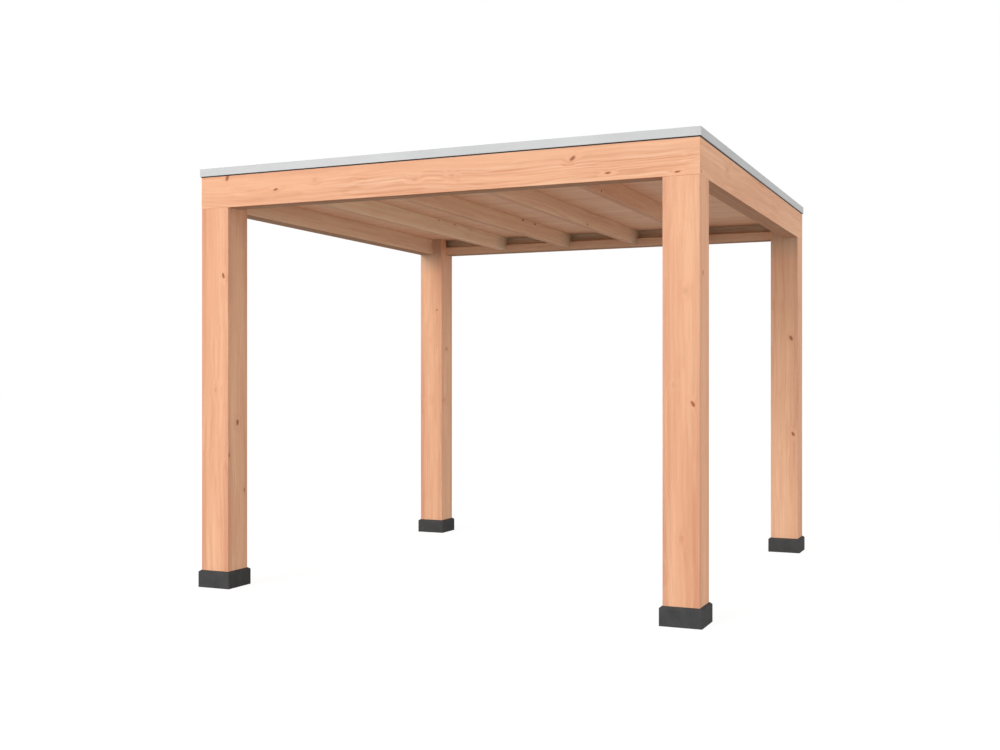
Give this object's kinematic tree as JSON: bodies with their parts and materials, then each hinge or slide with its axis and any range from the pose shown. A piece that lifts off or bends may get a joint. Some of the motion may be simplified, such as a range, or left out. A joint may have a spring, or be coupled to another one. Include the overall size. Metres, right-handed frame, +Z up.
{
  "type": "flat-roofed timber patio cover",
  "caption": "Open square timber patio cover: notched posts on concrete feet, mitred ring beam, notched joists, boarded flat roof, membrane and metal edge trim.",
  "frame": {"origin": "on the floor, under the middle of the cover", "axes": "+X to the right seen from the front, +Y from front to back, +Z up"},
  "size_m": [3.03, 3.03, 2.471],
  "materials": {
    "timber": "planed softwood, pinkish orange, with fine straight grain and a few small knots",
    "roof_boards": "planed softwood boards, pinkish orange",
    "concrete": "anthracite cast concrete, matt",
    "membrane": "black sheet rubber, matt",
    "trim": "plain mill aluminium, satin"
  },
  "bodies": {
    "root": {"foot_front_left": "concrete", "foot_front_right": "concrete", "foot_back_left": "concrete", "foot_back_right": "concrete", "post_front_left": "timber", "post_front_right": "timber", "post_back_left": "timber", "post_back_right": "timber", "front_board": "timber", "right_board": "timber", "back_board": "timber", "left_board": "timber", "left_bearer": "timber", "right_bearer": "timber", "front_ledger": "timber", "back_ledger": "timber", "joist_1": "timber", "joist_2": "timber", "joist_3": "timber", "joist_4": "timber", "roof_deck": "roof_boards", "roof_membrane": "membrane", "front_trim": "trim", "right_trim": "trim", "back_trim": "trim", "left_trim": "trim"}
  },
  "joints": []
}
